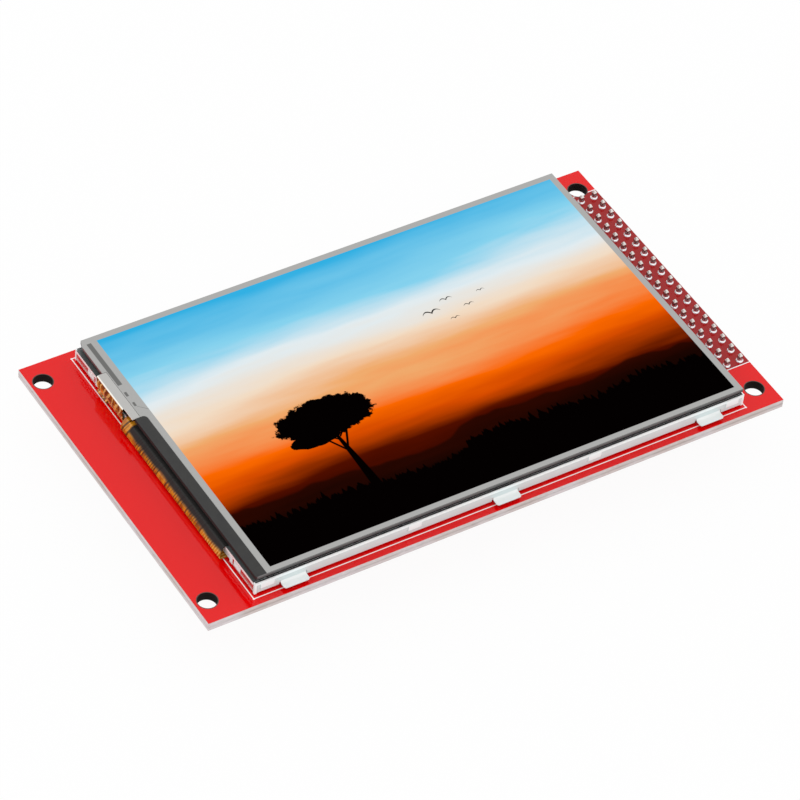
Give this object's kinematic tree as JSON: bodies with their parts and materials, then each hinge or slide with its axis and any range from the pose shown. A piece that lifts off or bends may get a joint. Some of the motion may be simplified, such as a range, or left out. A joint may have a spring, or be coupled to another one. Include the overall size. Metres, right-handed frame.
{
  "type": "tft display module",
  "caption": "Colour display with a touch panel in a folded steel tray on a red circuit board, with a two-row pin header, a card socket and corner mounting holes.",
  "frame": {"origin": "centre of the four mounting holes on the board's underside", "axes": "+Z towards the side that shows the picture, +X along the board towards the pin header, +Y across the board"},
  "size_m": [0.106, 0.0606, 0.0142],
  "materials": {
    "board": "satin",
    "foam": "matte",
    "tray_steel": "satin",
    "white_plastic": "satin",
    "optical_film": "satin",
    "guide_plastic": "gloss",
    "black_tape": "matte",
    "flex": "satin",
    "lamp_plastic": "satin",
    "polariser": "satin",
    "pane_glass": "gloss",
    "silicon": "gloss",
    "touch_pane_glass": "gloss",
    "touch_film": "gloss",
    "black_plastic": "satin",
    "gold_plate": "satin",
    "solder": "gloss",
    "cover_steel": "satin",
    "chip_resin": "matte",
    "tantalum": "satin",
    "ceramic": "satin",
    "resistor": "satin",
    "tin_plate": "gloss"
  },
  "bodies": {
    "root": {"circuit_board": "board", "foam_tape": "foam", "backlight_tray": "tray_steel", "backlight_frame": "white_plastic", "reflector": "optical_film", "light_guide": "guide_plastic", "diffuser": "optical_film", "lower_prism_film": "optical_film", "upper_prism_film": "optical_film", "light_shield": "black_tape", "lamp_flex": "flex", "lamps": "lamp_plastic", "rear_polariser": "polariser", "rear_pane": "pane_glass", "front_pane": "pane_glass", "front_polariser": "polariser", "driver_chip": "silicon", "display_flex": "flex", "touch_ring": "black_tape", "touch_glass": "touch_pane_glass", "touch_spacer": "touch_film", "touch_film": "touch_film", "touch_tail": "flex", "ledge_tape": "black_tape", "flex_solder": "solder", "header_housing": "black_plastic", "header_pins": "tin_plate", "header_solder": "solder", "socket_base": "black_plastic", "socket_cover": "cover_steel", "socket_contacts": "gold_plate", "bus_chips": "chip_resin", "bus_chip_leads": "solder", "touch_chip": "chip_resin", "touch_chip_leads": "solder", "regulator": "chip_resin", "regulator_leads": "solder", "tantalum_capacitors": "tantalum", "ceramic_capacitors": "ceramic", "chip_resistors": "resistor", "resistor_arrays": "resistor", "lamp_transistor": "chip_resin"}
  },
  "joints": []
}
